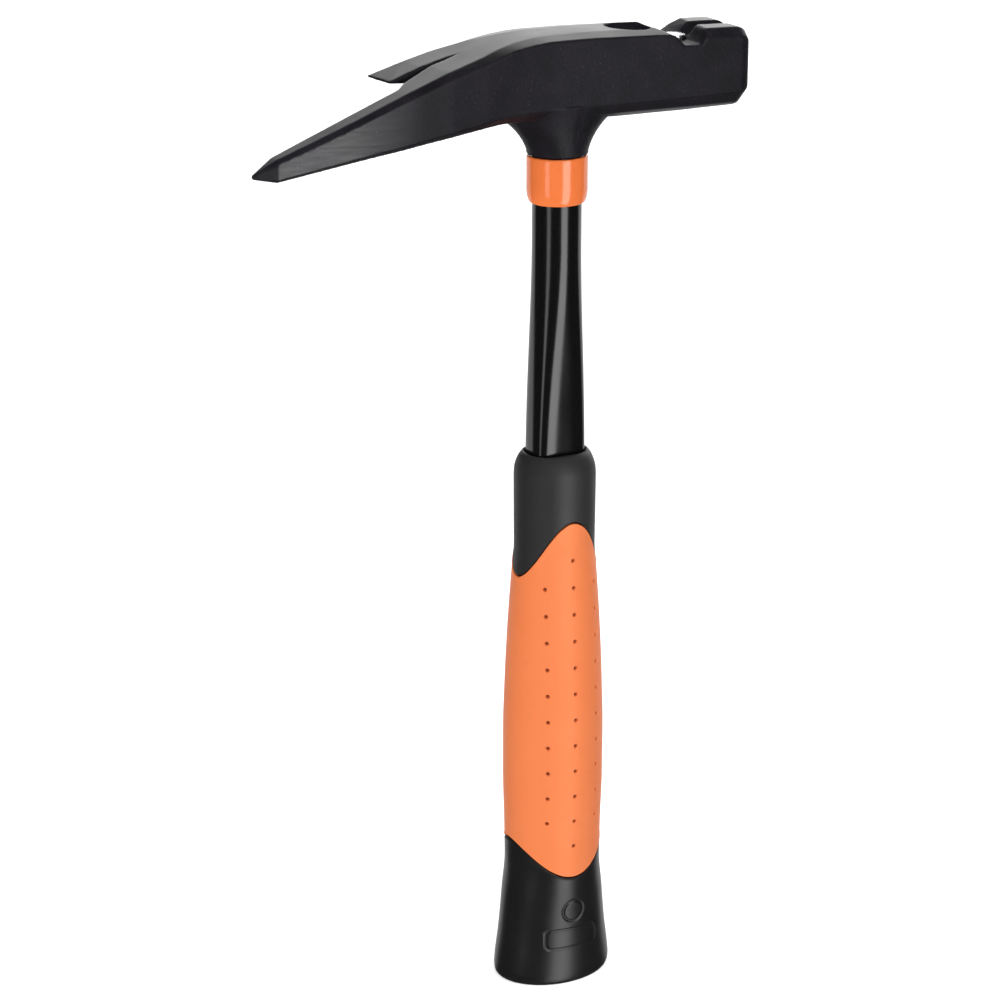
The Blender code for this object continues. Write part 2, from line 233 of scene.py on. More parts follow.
def handle_tube():
    around = turn(96)
    heights = np.linspace(tube_low.z, tube_high.z, 170)
    outside, inside = [], []
    for z in heights:
        outside.append(tube_ring(z, around))
        inside.append(tube_ring(z, around, -TUBE_WALL))
    return skin("tube", outside + inside[::-1], "joined")


stove_black = Finish("stove_black", specular_ior_level=0.55, coat_roughness=0.05)
ripple = stove_black.noise(2.6 * MM, 2.0, (1.0, 1.0, 0.35))
dust = stove_black.ramp(stove_black.noise(0.5 * MM, 3.0), 0.70, 0.78)
handled = stove_black.noise(18 * MM, 3.0)
stove_black.vary(
    base_color=stove_black.mix(dust, TUBE_BLACK, (0.020, 0.020, 0.022)),
    roughness=handled * 0.10 + dust * 0.15 + 0.13,
)
stove_black.relief(ripple * 0.010)

tube = handle_tube()
wear(tube, stove_black)
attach(tube, "root")
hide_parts("handle_tube")

# --- Tube end plug ------------------------------------------------------------------------
# A small black plastic stopper pushed into the tube's lower end before the grip is moulded.
# It is hidden inside the grip.

stopper = Finish("stopper_plastic", specular_ior_level=0.4)
clouds = stopper.noise(3 * MM, 3.0)
stopper.vary(
    base_color=stopper.mix(clouds, (0.030, 0.030, 0.033), (0.048, 0.048, 0.052)),
    roughness=clouds * 0.15 + 0.42,
)
stopper.relief(stopper.noise(0.4 * MM, 2.0) * 0.012)
wear(NODES["tube_end_plug"], stopper)

# --- Grip, black part ---------------------------------------------------------------------
# Hard black plastic moulded round the oval tube: a flared butt, a waist that the soft part
# covers, and a cuff with a rounded mouth. The butt is polished, the cuff finely grained.

GRIP_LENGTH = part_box("grip_body")[1].z
CUFF_LENGTH = 31.7 * MM
BUTT_LENGTH = 45.8 * MM
CUFF_WAVE = 9.9 * MM
BUTT_WAVE = 5.8 * MM
SLEEVE_WALL = 2.4 * MM
SEAM = 0.3 * MM
SLEEVE_TOP = GRIP_LENGTH - CUFF_LENGTH
SLEEVE_BOTTOM = BUTT_LENGTH
EDGE_ROUND = 0.40 * MM
SEAM_GROOVE = 0.50 * MM
LIP = 0.13 * MM
LIP_REACH = 1.5 * MM

# Height as a share of the grip, and half depth in millimetres.
GRIP_OUTLINE = [
    (0.000, 19.70), (0.003, 20.14), (0.008, 20.42), (0.015, 20.50), (0.030, 20.26),
    (0.090, 18.81), (0.160, 17.51), (0.230, 16.24), (0.300, 16.38), (0.390, 16.80),
    (0.470, 16.80), (0.570, 16.30), (0.690, 15.21), (0.780, 14.02), (0.830, 13.31),
    (0.880, 13.37), (0.955, 13.44), (0.970, 13.24), (0.983, 12.63), (0.993, 11.84),
    (1.000, 10.59),
]
# Height as a share of the grip, and width as a share of depth.
GRIP_ROUNDNESS = [
    (0.00, 0.76), (0.10, 0.82), (0.26, 0.95), (0.80, 0.97), (0.97, 0.98), (1.00, 0.86),
]
# Heights of the rings round the butt's lower edge, in millimetres.
BUTT_EDGE = (0.0, 0.15, 0.4, 0.8, 1.4, 2.2, 3.2)
# Where the cuff starts to roll in to its mouth, as a share of the grip.
CUFF_ROLL = 0.955
# The cuff's mouth: depth below its top and gap beyond the seam, in millimetres.
CUFF_MOUTH = [(0.15, 0.62), (0.5, 0.35), (1.0, 0.05), (1.6, 0.0)]


def fair_curve(table):
    """A smooth curve through a table of points that never overshoots between two of them."""
    at, value = np.array(table).T
    slopes = np.diff(value) / np.diff(at)
    tangents = np.zeros_like(value)
    same_way = slopes[1:] * slopes[:-1] > 0
    steps = np.diff(at)
    heavy, light = 2 * steps[1:] + steps[:-1], steps[1:] + 2 * steps[:-1]
    with np.errstate(divide="ignore", invalid="ignore"):
        inner = (heavy + light) / (heavy / slopes[:-1] + light / slopes[1:])
    tangents[1:-1] = np.where(same_way, inner, 0)
    tangents[0], tangents[-1] = slopes[0], slopes[-1]

    def read(where):
        where = np.clip(where, at[0], at[-1])
        i = np.clip(np.searchsorted(at, where) - 1, 0, len(at) - 2)
        step = at[i + 1] - at[i]
        t = (where - at[i]) / step
        start, end = value[i], value[i + 1]
        return (
            (1 + 2 * t) * (1 - t) ** 2 * start + t * (1 - t) ** 2 * step * tangents[i]
            + t**2 * (3 - 2 * t) * end + t**2 * (t - 1) * step * tangents[i + 1]
        )

    return read


grip_depth = fair_curve(GRIP_OUTLINE)
grip_roundness = fair_curve(GRIP_ROUNDNESS)


def grip_sizes(z):
    half_x = grip_depth(z / GRIP_LENGTH) * MM
    return half_x, half_x * grip_roundness(z / GRIP_LENGTH)


def grip_ring(z, angles, inset=0.0):
    """Ring on the grip's outside; z is a number or one height per angle."""
    half_x, half_y = grip_sizes(z)
    return ellipse(half_x - inset, half_y - inset, z, angles)


def lower_seam(angles):
    return SLEEVE_BOTTOM - 0.45 * MM + BUTT_WAVE * (np.cos(2 * angles) - 0.06 * np.cos(angles))


def upper_seam(angles):
    return SLEEVE_TOP - CUFF_WAVE * np.cos(2 * angles)


def rounded_end(seam, direction, angles, deep, lip=0.0):
    """Rings that rise to a lip, roll over the edge at the seam and run in to a depth."""
    rings = [grip_ring(seam - direction * LIP_REACH, angles)] if lip else []
    for tilt in np.linspace(0, math.pi / 2, 6):
        back = EDGE_ROUND * (1 - math.sin(tilt))
        inset = EDGE_ROUND * (1 - math.cos(tilt)) - lip
        rings.append(grip_ring(seam - direction * back, angles, inset))
    rings.append(grip_ring(seam, angles, deep))
    return rings


def grip_black():
    angles = turn(160)
    flat = np.zeros_like(angles)
    waist = SLEEVE_WALL + SEAM
    low_edge = lower_seam(angles) - SEAM_GROOVE
    high_edge = upper_seam(angles) + SEAM_GROOVE
    rings = []
    for z in BUTT_EDGE:
        rings.append(grip_ring(flat + z * MM, angles))
    start = BUTT_EDGE[-1] * MM
    for part in np.linspace(0, 1, 40)[1:]:
        rings.append(grip_ring(start + (low_edge - EDGE_ROUND - start) * part, angles))
    rings += rounded_end(low_edge, 1, angles, waist)
    for part in np.linspace(0, 1, 30)[1:-1]:
        rings.append(grip_ring(low_edge + (high_edge - low_edge) * part, angles, waist))
    rings += rounded_end(high_edge, -1, angles, waist)[::-1]
    stop = CUFF_ROLL * GRIP_LENGTH
    for part in np.linspace(0, 1, 26)[1:-1]:
        z = high_edge + EDGE_ROUND + (stop - high_edge - EDGE_ROUND) * part
        rings.append(grip_ring(z, angles))
    for z in np.linspace(stop, GRIP_LENGTH, 24):
        rings.append(grip_ring(flat + z, angles))
    for drop, extra in CUFF_MOUTH:
        rings.append(tube_ring(GRIP_LENGTH - drop * MM, angles, SEAM + extra * MM))
    for z in np.linspace(GRIP_LENGTH - 6 * MM, tube_low.z - SEAM, 24):
        rings.append(tube_ring(z, angles, SEAM))
    return skin("grip_black", rings)


def refine(piece, centres, reaches):
    """Splits the faces round each centre, once for each reach, and keeps them on the surface."""
    tree = KDTree(len(centres))
    for i, centre in enumerate(centres):
        tree.insert(centre, i)
    tree.balance()
    bm = bmesh.new()
    bm.from_mesh(piece.data)
    for reach in reaches:
        near = [face for face in bm.faces if tree.find(face.calc_center_median())[2] < reach]
        edges = list({edge for face in near for edge in face.edges})
        bmesh.ops.subdivide_edges(bm, edges=edges, cuts=1, use_grid_fill=True)
    bm.to_mesh(piece.data)
    bm.free()


def onto_grip(points):
    """Moves points that lie almost on the grip's outside exactly onto it."""
    half_x, half_y = grip_sizes(points[:, 2])
    share = np.sqrt((points[:, 0] / half_x) ** 2 + (points[:, 1] / half_y) ** 2)
    close = np.abs(share - 1) < 0.004
    points[close, :2] /= share[close, None]
    return points


# Two plain sunk marks on the butt's broad side: a round one above an oblong one.
MARK_X = 0.2 * MM
ROUND_MARK_Z = 26.8 * MM
ROUND_MARK_RADIUS = 3.7 * MM
OBLONG_MARK_Z = 16.7 * MM
OBLONG_HALF = (9.4 * MM, 3.4 * MM)
OBLONG_CORNER = 1.6 * MM
MARK_DEPTH = 0.32 * MM
MARK_LINE = 0.42 * MM


def sink_marks(piece):
    side = -grip_sizes(OBLONG_MARK_Z)[1]
    centres = []
    for x in np.arange(-10.5, 10.6, 1.5):
        for z in np.arange(-5, 15.1, 1.5):
            centres.append((x * MM, side, OBLONG_MARK_Z + z * MM))
    refine(piece, centres, (2.5 * MM, 2.2 * MM))
    points = onto_grip(places(piece.data))
    x, y, z = points.T
    from_round = np.hypot(x - MARK_X, z - ROUND_MARK_Z) - ROUND_MARK_RADIUS
    side_x = np.abs(x - MARK_X) - OBLONG_HALF[0] + OBLONG_CORNER
    side_z = np.abs(z - OBLONG_MARK_Z) - OBLONG_HALF[1] + OBLONG_CORNER
    outside = np.hypot(np.maximum(side_x, 0), np.maximum(side_z, 0))
    from_oblong = outside + np.minimum(np.maximum(side_x, side_z), 0) - OBLONG_CORNER
    # Each mark is a shallow sunk line along its outline.
    nearest = np.minimum(np.abs(from_round), np.abs(from_oblong))
    share = 1 - smooth_share(nearest, 0.4 * MARK_LINE, 1.6 * MARK_LINE)
    broad_side = y < -8 * MM
    points[:, 1] += np.where(broad_side, MARK_DEPTH * share, 0)
    piece.data.vertices.foreach_set("co", points.ravel())
    piece.data.update()
    face_out(piece)


BUTT_BLACK = (0.008, 0.008, 0.009)
CUFF_BLACK = (0.022, 0.022, 0.023)

moulded_black = Finish("moulded_black", specular_ior_level=0.40)
height = moulded_black.part(moulded_black.spot, "Z")
on_cuff = moulded_black.ramp(height, 0.07, 0.12)
flow = moulded_black.noise(14 * MM, 3.0)
grain = moulded_black.noise(0.35 * MM, 2.0)
scuffs = moulded_black.ramp(moulded_black.noise(2.2 * MM, 4.0, (1, 1, 0.4)), 0.60, 0.72)
moulded_black.vary(
    base_color=moulded_black.mix(on_cuff * 0.85 + flow * 0.12, BUTT_BLACK, CUFF_BLACK),
    roughness=on_cuff * 0.18 + flow * 0.10 + scuffs * 0.05 + 0.29,
)
moulded_black.relief(grain * (on_cuff * 0.016 + 0.003) + flow * 0.05)

black_grip = grip_black()
sink_marks(black_grip)
wear(black_grip, moulded_black)
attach(black_grip, "root")
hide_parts("grip_body")

# --- Grip, orange part --------------------------------------------------------------------
# Soft orange rubber moulded over the waist in the second shot. Its ends follow two waves,
# and three rows of small pits down each broad side give a hold.

PIT_RADIUS = 0.78 * MM
PIT_DEPTH = 0.95 * MM
PIT_STEP = 9.16 * MM
MIDDLE_TOP = 151.8 * MM
SIDE_TOP = 142.5 * MM
SIDE_REACH = 9.1 * MM
MIDDLE_PITS = 12
SIDE_PITS = 10


def sleeve():
    angles = turn(144)
    low_edge, high_edge = lower_seam(angles), upper_seam(angles)
    low_inner, high_inner = low_edge + LIP_REACH, high_edge - LIP_REACH
    rings = rounded_end(low_edge, -1, angles, SLEEVE_WALL, LIP)[-2::-1]
    for part in np.linspace(0, 1, 120)[1:-1]:
        rings.append(grip_ring(low_inner + (high_inner - low_inner) * part, angles))
    rings += rounded_end(high_edge, 1, angles, SLEEVE_WALL, LIP)[:-1]
    for part in np.linspace(1, 0, 40):
        rings.append(grip_ring(low_edge + (high_edge - low_edge) * part, angles, SLEEVE_WALL))
    return skin("grip_orange", rings, "joined")


def pit_centres():
    found = []
    columns = [
        (0.0, MIDDLE_TOP, MIDDLE_PITS),
        (-SIDE_REACH, SIDE_TOP, SIDE_PITS),
        (SIDE_REACH, SIDE_TOP, SIDE_PITS),
    ]
    for side in (-1, 1):
        for x, top, count in columns:
            for step in range(count):
                z = top - step * PIT_STEP
                half_x, half_y = grip_sizes(z)
                found.append((x, side * half_y * math.sqrt(1 - (x / half_x) ** 2), z))
    return found


def press_pits(piece):
    """Sinks round pits with a slightly raised rim into the sleeve's outside."""
    centres = pit_centres()
    refine(piece, centres, (1.9 * MM, 1.5 * MM, 1.15 * MM))
    points = onto_grip(places(piece.data))
    half_x, half_y = grip_sizes(points[:, 2])
    normals = np.stack([points[:, 0] / half_x**2, points[:, 1] / half_y**2, 0 * half_x], 1)
    normals /= np.linalg.norm(normals, axis=1)[:, None]
    depth = np.zeros(len(points))
    for centre in centres:
        away = np.linalg.norm(points - np.array(centre), axis=1)
        rim = 0.05 * MM * np.exp(-(((away - 1.45 * PIT_RADIUS) / (0.35 * PIT_RADIUS)) ** 2))
        depth += PIT_DEPTH * (1 - smooth_share(away, 0.25 * PIT_RADIUS, 1.1 * PIT_RADIUS)) - rim
    points -= normals * depth[:, None]
    piece.data.vertices.foreach_set("co", points.ravel())
    # The pits' depth as a share; the material uses it to darken each pit with painted shade.
    shade = piece.data.attributes.new("pit", "FLOAT", "POINT")
    shade.data.foreach_set("value", np.clip(depth / PIT_DEPTH, 0, 1))
    piece.data.update()
    face_out(piece)


ORANGE = (0.88, 0.225, 0.062)
ORANGE_DEEP = (0.84, 0.190, 0.045)

soft_orange = Finish("soft_orange", specular_ior_level=0.40)
cloud = soft_orange.noise(22 * MM, 3.0)
skin_grain = soft_orange.noise(0.30 * MM, 2.0)
grime = soft_orange.ramp(soft_orange.noise(5 * MM, 4.0), 0.55, 0.75)
# Painted shade: the pits' colour goes dark brown with their depth.
painted_pit_shade = soft_orange.node("ShaderNodeAttribute", {"attribute_name": "pit"}, {}, "Fac")
clean = soft_orange.mix(cloud, ORANGE, ORANGE_DEEP)
rubbed = soft_orange.mix(grime * 0.10, clean, (0.62, 0.16, 0.05))
soft_orange.vary(
    base_color=soft_orange.mix(painted_pit_shade * 0.9, rubbed, (0.16, 0.018, 0.006)),
    roughness=cloud * 0.10 + grime * 0.08 + 0.42,
)
soft_orange.relief(skin_grain * 0.006 + cloud * 0.05)

orange_grip = sleeve()
press_pits(orange_grip)
wear(orange_grip, soft_orange)
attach(orange_grip, "root")
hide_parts("grip_sleeve")

# --- Collar -------------------------------------------------------------------------------
# A glossy orange plastic ring pushed up against the socket. It hides the joint between tube
# and head, and its lower edge is drawn in to the tube.

collar_low, collar_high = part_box("neck_collar")
COLLAR_RADIUS = collar_high.y
COLLAR_BORE = TUBE_RADIUS + SEAM
COLLAR_EDGE = 0.5 * MM

# Height over the collar's lower edge and distance inside its full radius, in millimetres.
COLLAR_OUTLINE = [
    (0.0, 1.30), (0.02, 1.12), (0.10, 0.98), (0.28, 0.84), (0.55, 0.70), (1.0, 0.50), (1.7, 0.27),
    (2.5, 0.12), (3.4, 0.03), (4.6, 0.0),
]


def collar_ring():
    angles = turn(128)
    length = collar_high.z - collar_low.z
    outline = [(collar_low.z + z * MM, COLLAR_RADIUS - inset * MM) for z, inset in COLLAR_OUTLINE]
    for part in np.linspace(0.35, 0.94, 8):
        outline.append((collar_low.z + length * part, COLLAR_RADIUS))
    for tilt in np.linspace(0, math.pi / 2, 6):
        z = collar_high.z - COLLAR_EDGE * (1 - math.sin(tilt))
        outline.append((z, COLLAR_RADIUS - COLLAR_EDGE * (1 - math.cos(tilt))))
    rings = [ellipse(radius, radius, z, angles) for z, radius in outline]
    for z in np.linspace(collar_high.z, collar_low.z, 8):
        rings.append(ellipse(COLLAR_BORE, COLLAR_BORE, z, angles))
    return skin("collar", rings, "joined")


gloss_orange = Finish("gloss_orange", specular_ior_level=0.6)
swirl = gloss_orange.noise(6 * MM, 3.0)
handling = gloss_orange.ramp(gloss_orange.noise(1.2 * MM, 4.0), 0.58, 0.75)
gloss_orange.vary(
    base_color=gloss_orange.mix(swirl, (0.86, 0.200, 0.050), (0.80, 0.170, 0.038)),
    roughness=swirl * 0.06 + handling * 0.08 + 0.12,
)
gloss_orange.relief(gloss_orange.noise(2.5 * MM, 2.0) * 0.008)

collar = collar_ring()
wear(collar, gloss_orange)
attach(collar, "root")
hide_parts("neck_collar")

# --- Head ---------------------------------------------------------------------------------
# One steel forging: an eight-sided striking end, a long spike, a short claw leg beside it,
# and a round socket below. Its sides keep the rough forged skin under black paint; the top
# is smoother. A notch, a groove and a lens-shaped pocket are milled into the top.

head_low, head_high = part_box("hammer_head")
HEAD_TOP = head_high.z
NECK_END = head_low.z
NECK_RADIUS = COLLAR_RADIUS + 0.1 * MM
SOCKET_RADIUS = COLLAR_BORE
NECK_LENGTH = 11.6 * MM
# The rings below put the striking face 64 mm out; this brings it to its real place.
STRIKE_SCALE = head_high.x / (64 * MM)
# How far the neck's fillet spreads along the head and across it.
NECK_SPREAD = (18.5 * MM, 2.2 * MM)
NECK_RISE = 1.33 * NECK_LENGTH
FORGED_GRID = 0.45 * MM


def head_point(x, y, drop):
    """Millimetres: x from the handle's axis, drop below the top."""
    return (x * MM * (STRIKE_SCALE if x > 0 else 1.0), y * MM, HEAD_TOP - drop * MM)


def body_ring(x, half, top, bottom, chamfer, low):
    wide, deep = chamfer
    split = 0.8
    section = [
        (-half, top + deep), (-half + wide, top), (split, top), (half - wide, top),
        (half, top + deep), (half, bottom - low), (half - low, bottom), (split, bottom),
        (-half + low, bottom), (-half, bottom - low),
    ]
    return [head_point(x, y, drop) for y, drop in section]


def spike_ring(x, outer, inner, top, bottom, chamfer, inner_chamfer):
    section = [
        (outer, top + 0.8 * chamfer), (outer + chamfer, top), (inner - inner_chamfer, top),
        (inner, top + inner_chamfer), (inner, bottom - inner_chamfer),
        (inner - inner_chamfer, bottom), (outer + chamfer, bottom), (outer, bottom - 0.8 * chamfer),
    ]
    return [head_point(x, y, drop) for y, drop in section]


def claw_ring(x, inner, outer, top, inner_thickness, outer_thickness, chamfer, skew=0.0):
    middle = (inner + 2 * outer) / 3
    mean = 0.5 * (inner_thickness + outer_thickness)
    section = [
        (0.0, inner, top), (1.0, outer - 1.2 * chamfer, top), (1.0, outer, top + chamfer),
        (1.0, outer, top + chamfer + outer_thickness), (0.7, middle, top + chamfer + mean),
        (0.0, inner, top + inner_thickness),
    ]
    return [head_point(x - skew * part, y, drop) for part, y, drop in section]


BODY_RINGS = [
    (64.0, 8.6, 7.2, 21.9, (2.0, 2.0), 3.6),
    (63.8, 10.2, 5.2, 24.0, (2.3, 2.3), 4.2),
    (63.2, 11.4, 3.8, 25.6, (2.6, 2.5), 4.7),
    (62.0, 12.3, 2.7, 26.8, (2.8, 2.6), 5.0),
    (60.0, 12.8, 2.0, 27.2, (2.9, 2.6), 5.0),
    (48.0, 12.9, 1.5, 27.2, (2.9, 2.4), 5.0),
    (40.0, 13.0, 1.1, 27.2, (4.5, 1.8), 5.0),
    (32.0, 13.0, 0.7, 27.1, (7.0, 1.3), 5.0),
    (18.0, 13.0, 0.3, 26.9, (7.0, 1.1), 4.8),
    (4.0, 13.0, 0.0, 26.3, (7.0, 0.9), 4.2),
    (-8.0, 13.1, 0.0, 25.5, (6.8, 0.8), 3.6),
    (-17.0, 13.5, 0.7, 25.0, (6.4, 0.9), 3.0),
    (-25.0, 14.1, 2.0, 24.9, (4.8, 1.2), 2.6),
    (-32.0, 14.8, 3.8, 25.4, (3.2, 1.6), 2.2),
]
SPIKE_RINGS = [
    (-44.0, -15.5, 0.2, 7.1, 27.0, 2.4, 0.2),
    (-54.5, -15.4, -2.9, 10.9, 28.4, 2.2, 0.3),
    (-57.5, -15.3, -4.2, 12.0, 28.9, 2.1, 1.8),
    (-74.0, -14.4, -4.0, 18.6, 31.2, 1.8, 1.6),
    (-88.0, -13.1, -4.2, 24.1, 33.5, 1.6, 1.5),
    (-99.5, -11.8, -4.9, 28.5, 35.4, 1.3, 1.2),
    (-107.0, -9.3, -8.3, 32.8, 33.9, 0.2, 0.2),
]
CLAW_RINGS = [
    (-38.0, 1.5, 15.4, 5.4, 13.0, 8.4, 1.7),
    (-46.0, 2.4, 15.8, 7.8, 4.8, 3.0, 1.0),
    (-56.2, 3.2, 16.0, 11.6, 0.7, 0.2, 0.2, 1.8),
]


def solid(name, rings):
    made = skin(name, rings)
    made.data.shade_flat()
    return made


def faired(rings, step):
    """Adds rings between the given ones, on smooth curves through their points."""
    points = np.array(rings)
    along = -points[:, :, 0].mean(1)
    fine = np.unique(np.concatenate([along, np.arange(along[0], along[-1], step)]))
    columns = [
        [fair_curve(np.stack([along, points[:, i, axis]], 1))(fine) for axis in range(3)]
        for i in range(points.shape[1])
    ]
    return np.transpose(columns, (2, 0, 1)).tolist()


def forged_block():
    """Skins the striking end, then each leg from the points that it shares with the body."""
    bm = bmesh.new()
    body, spike, claw = (
        [[bm.verts.new(point) for point in shape] for shape in shapes]
        for shapes in (
            faired([body_ring(*row) for row in BODY_RINGS], 1.2 * MM),
            [spike_ring(*row) for row in SPIKE_RINGS],
            [claw_ring(*row) for row in CLAW_RINGS],
        )
    )
    shared = body[-1]
    spike_root = [shared[i] for i in (0, 1, 2, 2, 7, 7, 8, 9)]
    claw_root = shared[2:8]
    for run in (body, [spike_root, *spike], [claw_root, *claw]):
        for first, second in zip(run, run[1:]):
            for i in range(len(first)):
                j = (i + 1) % len(first)
                corners = list(dict.fromkeys([first[i], first[j], second[j], second[i]]))
                if len(corners) > 2:
                    bm.faces.new(corners)
    for end in (body[0], spike[-1], claw[-1]):
        bm.faces.new(end)
    bmesh.ops.triangulate(bm, faces=bm.faces)
    bmesh.ops.recalc_face_normals(bm, faces=bm.faces)
    mesh = bpy.data.meshes.new("head")
    bm.to_mesh(mesh)
    bm.free()
    made = bpy.data.objects.new("head", mesh)
    bpy.context.scene.collection.objects.link(made)
    return made


def socket_neck():
    angles = turn(64)
    start = NECK_END + 0.11 * NECK_LENGTH
    rings = [ellipse(NECK_RADIUS, NECK_RADIUS, NECK_END, angles)]
    for step in np.linspace(0, 1, 16):
        part = math.sin(math.pi / 2 * step)
        flare = 0.20 * NECK_RISE * part
        flare = flare * np.where(np.cos(angles) < 0, 1.9, 1.5)
        bend = 1 - math.sqrt(max(0.0, 1 - part**2))
        half_x = NECK_RADIUS + flare + NECK_SPREAD[0] * STRIKE_SCALE * bend
        half_y = NECK_RADIUS + 0.3 * flare + NECK_SPREAD[1] * part**2
        rings.append(ellipse(half_x, half_y, start + NECK_RISE * part, angles))
    return solid("socket_neck", rings)


# The notch's outline, so far out on the near side and on the far side of the middle.
NOTCH_OUT = 11
NOTCH_NEAR = [
    (24.0, -5.0), (30.4, 0.3), (33.7, 1.8), (36.5, 3.3), (38.7, 5.7), (44.4, 6.1), (45.8, 4.5),
    (47.2, 2.0), (49.0, 0.6), (51.5, -5.0),
]
NOTCH_FAR = [
    (26.0, -5.0), (32.4, 0.8), (35.2, 2.2), (37.4, 3.6), (39.2, 5.7), (43.8, 5.7), (46.4, 4.3),
    (48.4, 2.9), (50.4, 1.4), (53.5, -5.0),
]
MAGNET_X = 42.1 * MM * STRIKE_SCALE
GROOVE_RADIUS = 3.0 * MM
GROOVE_DROP = 2.6
POCKET_X = 25.0 * MM * STRIKE_SCALE
POCKET_MIDDLE = (25.3 * MM, 0.9 * MM)
POCKET_HALF = (7.6 * MM, 8.0 * MM, 4.0 * MM)
POCKET_DROP = 0.8
MAGNET_EDGE = 0.22 * MM
MAGNETS = {"nail_magnet": MAGNET_X, "pocket_magnet": POCKET_X}
# How far each magnet's end stands above the plain disc that it replaces.
PROUD = {"nail_magnet": 0.2 * MM, "pocket_magnet": 0.6 * MM}


def upright(name, radius, low, high, x):
    angles = turn(48)
    rings = [ellipse(radius, radius, z, angles) + (x, 0, 0) for z in (low, high)]
    return solid(name, rings)


def milled_cuts():
    middle = (np.array(NOTCH_NEAR) + NOTCH_FAR) / 2
    lean = (np.array(NOTCH_FAR) - NOTCH_NEAR) / (2 * NOTCH_OUT)
    outlines = [(side, middle + lean * side) for side in np.linspace(-20, 20, 9)]
    rows = [[head_point(x, side, drop) for x, drop in row] for side, row in outlines]
    notch = solid("cross_notch", rows)
    groove_z = HEAD_TOP - GROOVE_DROP * MM
    angles = turn(40)
    rounds = []
    for x in (MAGNET_X, head_high.x + 5 * MM):
        ring = ellipse(GROOVE_RADIUS, GROOVE_RADIUS, 0, angles)
        rounds.append(np.stack([ring[:, 2] + x, ring[:, 0], ring[:, 1] + groove_z], 1))
    groove = solid("nail_groove", rounds)
    caps = []
    for tilt in np.linspace(0.04, math.pi - 0.04, 25):
        size = math.sin(tilt)
        ring = ellipse(POCKET_HALF[0] * size, POCKET_HALF[1] * size, 0, turn(48))
        z = HEAD_TOP - POCKET_DROP * MM + POCKET_HALF[2] * math.cos(tilt)
        caps.append(ring + (*POCKET_MIDDLE, z))
    pocket = solid("rear_pocket", caps)
    bore = upright("socket_bore", SOCKET_RADIUS, NECK_END - 5 * MM, tube_high.z + 2 * SEAM, 0)
    seats = []
    for name, x in MAGNETS.items():
        low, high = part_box(name)
        radius = high.y + SEAM
        seats.append(upright(name + "_seat", radius, low.z - SEAM, HEAD_TOP + 5 * MM, x))
    return [notch, groove, pocket, bore, *seats]


def settle(piece):
    """Keeps what the piece's modifiers make of its mesh, and drops them."""
    ready = piece.evaluated_get(bpy.context.evaluated_depsgraph_get())
    mesh = bpy.data.meshes.new_from_object(ready)
    piece.modifiers.clear()
    piece.data = mesh


def forge_head():
    head = forged_block()
    cutters = [(socket_neck(), "UNION")] + [(cutter, "DIFFERENCE") for cutter in milled_cuts()]
    for cutter, operation in cutters:
        step = head.modifiers.new(cutter.name, "BOOLEAN")
        step.operation = operation
        step.solver = "EXACT"
        step.object = cutter
    settle(head)
    for cutter, _ in cutters:
        bpy.data.objects.remove(cutter)
    grid = head.modifiers.new("forged skin", "REMESH")
    grid.mode = "VOXEL"
    grid.voxel_size = FORGED_GRID
    soften = head.modifiers.new("soft edges", "SMOOTH")
    soften.factor = 0.5
    soften.iterations = 3
    settle(head)
    head.data.name = "head"
    return head


def mark_edges(piece):
    """Stores how far each point stands out from its neighbours: edges 1, hollows 0, flats 0.5."""
    mesh = piece.data
    points = places(mesh)
    normals = np.empty(len(points) * 3)
    mesh.vertices.foreach_get("normal", normals)
    normals = normals.reshape(-1, 3)
    pairs = np.empty(len(mesh.edges) * 2, np.int32)
    mesh.edges.foreach_get("vertices", pairs)
    first, second = pairs.reshape(-1, 2).T
    along = points[second] - points[first]
    along /= np.linalg.norm(along, axis=1)[:, None]
    bend = np.zeros(len(points))
    count = np.zeros(len(points))
    np.add.at(bend, first, -(normals[first] * along).sum(1))
    np.add.at(bend, second, (normals[second] * along).sum(1))
    np.add.at(count, first, 1)
    np.add.at(count, second, 1)
    bend /= np.maximum(count, 1)
    for _ in range(3):
        total = bend.copy()
        np.add.at(total, first, bend[second])
        np.add.at(total, second, bend[first])
        bend = total / (count + 1)
    edge = mesh.attributes.new("edge", "FLOAT", "POINT")
    edge.data.foreach_set("value", np.clip(0.5 + 2.2 * bend, 0, 1))


FORGED_BLACK = (0.0035, 0.0033, 0.0037)
# A purple-grey painted sheen, laid over the sides' black in broad blotches.
PAINTED_SHEEN_BLACK = (0.014, 0.012, 0.018)
TOP_BLACK = (0.016, 0.016, 0.017)
# Bare steel grey: the chips in the paint, and also the painted reflection on the lower bevel and the
# painted highlight on the top's edges.
BARE_AND_REFLECTED_GREY = (0.11, 0.11, 0.115)

# Below this height, taken at the handle's axis, the lower bevel gets a painted grey reflection of
# the pale sweep. The grey comes in over this depth, and its edge falls towards the striking face
# with this slope.
BEVEL_LINE = 297.00 * MM
BEVEL_FADE = 0.65 * MM
BEVEL_SLOPE = 0.016

